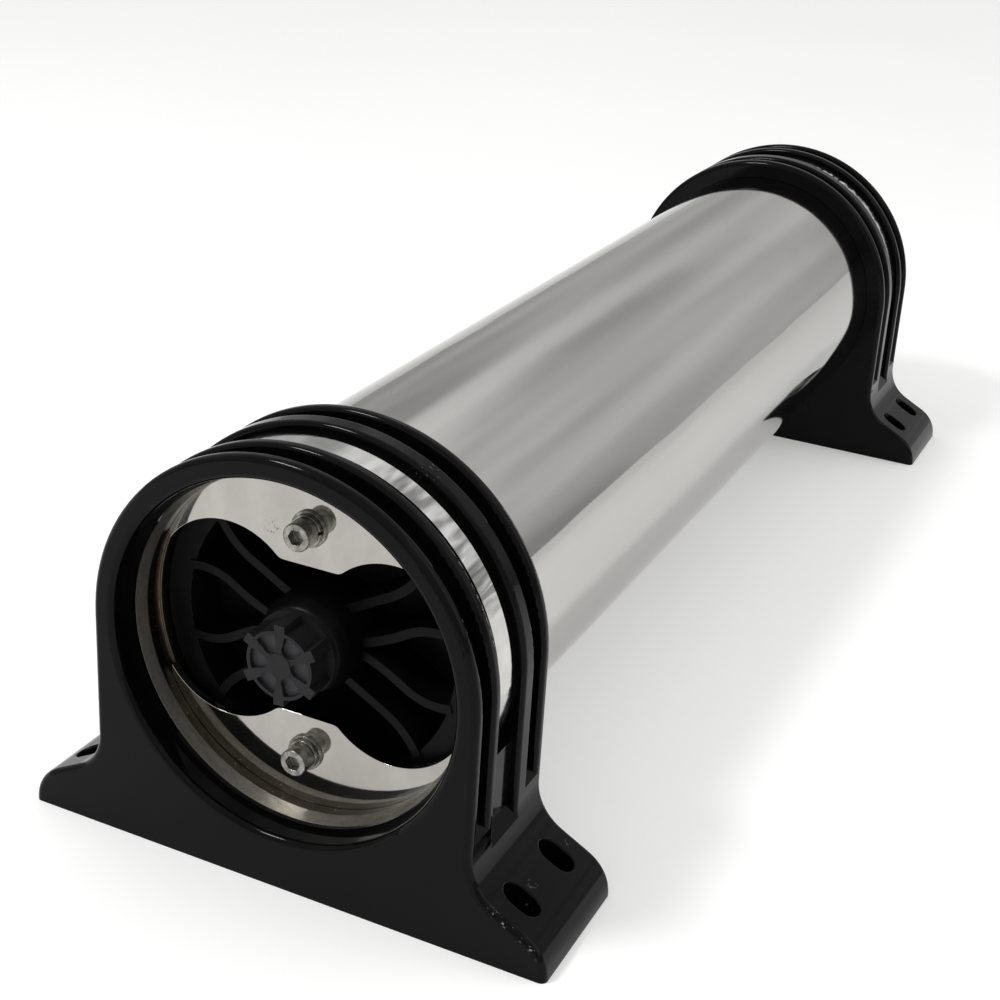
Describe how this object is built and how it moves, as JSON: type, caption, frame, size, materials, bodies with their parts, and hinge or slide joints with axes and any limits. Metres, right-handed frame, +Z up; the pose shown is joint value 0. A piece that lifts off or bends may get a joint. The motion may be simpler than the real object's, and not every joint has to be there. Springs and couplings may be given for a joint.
{
  "type": "stainless steel filter housing",
  "caption": "Horizontal polished steel tube for a filter element, held in two black ring stands with slotted feet and closed by ribbed end caps, crescent plates and screw plugs.",
  "frame": {"origin": "centre of the footprint, on the floor under the middle of the shell", "axes": "+Y along the shell, from the pictured end towards the far end; +X across it; +Z up"},
  "size_m": [0.332, 0.908, 0.257],
  "materials": {
    "polished_steel": "polished",
    "mirror_steel": "mirror polished",
    "screw_steel": "satin",
    "gloss_black": "gloss",
    "cap_black": "satin",
    "plug_grey": "satin",
    "white_plastic": "satin",
    "seal_rubber": "matt",
    "element_wrap": "satin"
  },
  "bodies": {
    "housing": {"shell_tube": "polished_steel", "front_stand": "gloss_black", "front_strap": "polished_steel", "front_end_cap": "cap_black", "front_adapter": "white_plastic", "front_end_disc": "white_plastic", "front_cap_outer_seal": "seal_rubber", "front_cap_inner_seal": "seal_rubber", "front_adapter_cap_seal": "seal_rubber", "front_adapter_core_seal": "seal_rubber", "front_upper_plate": "mirror_steel", "front_upper_screw": "screw_steel", "front_upper_spring_washer": "screw_steel", "front_upper_flat_washer": "screw_steel", "front_lower_plate": "mirror_steel", "front_lower_screw": "screw_steel", "front_lower_spring_washer": "screw_steel", "front_lower_flat_washer": "screw_steel", "rear_stand": "gloss_black", "rear_strap": "polished_steel", "rear_end_cap": "cap_black", "rear_adapter": "white_plastic", "rear_end_disc": "white_plastic", "rear_cap_outer_seal": "seal_rubber", "rear_cap_inner_seal": "seal_rubber", "rear_adapter_cap_seal": "seal_rubber", "rear_adapter_core_seal": "seal_rubber", "rear_upper_plate": "mirror_steel", "rear_upper_screw": "screw_steel", "rear_upper_spring_washer": "screw_steel", "rear_upper_flat_washer": "screw_steel", "rear_lower_plate": "mirror_steel", "rear_lower_screw": "screw_steel", "rear_lower_spring_washer": "screw_steel", "rear_lower_flat_washer": "screw_steel", "front_lip_seal": "seal_rubber", "rear_thrust_ring": "white_plastic", "element_pack": "element_wrap", "element_core_tube": "white_plastic"},
    "front_plug_ring": {"front_plug_seal": "seal_rubber"},
    "front_plug": {"front_port_plug": "plug_grey"},
    "rear_plug_ring": {"rear_plug_seal": "seal_rubber"},
    "rear_plug": {"rear_port_plug": "plug_grey"}
  },
  "joints": [
    {"name": "front_plug_travel", "type": "slide", "parent": "housing", "child": "front_plug_ring", "axis": [0, -1, 0], "range_m": [0, 0.02]},
    {"name": "front_plug_turn", "type": "hinge", "parent": "front_plug_ring", "child": "front_plug", "pos_m": [0, -0.454, 0.138], "axis": [0, -1, 0], "range_deg": [0, 3118]},
    {"name": "rear_plug_travel", "type": "slide", "parent": "housing", "child": "rear_plug_ring", "axis": [0, 1, 0], "range_m": [0, 0.02]},
    {"name": "rear_plug_turn", "type": "hinge", "parent": "rear_plug_ring", "child": "rear_plug", "pos_m": [0, 0.454, 0.138], "axis": [0, 1, 0], "range_deg": [0, 3118]}
  ],
  "couplings": [
    {"joint": "front_plug_travel", "follows": "front_plug_turn", "m_per_rad": 0.00036749},
    {"joint": "rear_plug_travel", "follows": "rear_plug_turn", "m_per_rad": 0.00036749}
  ]
}
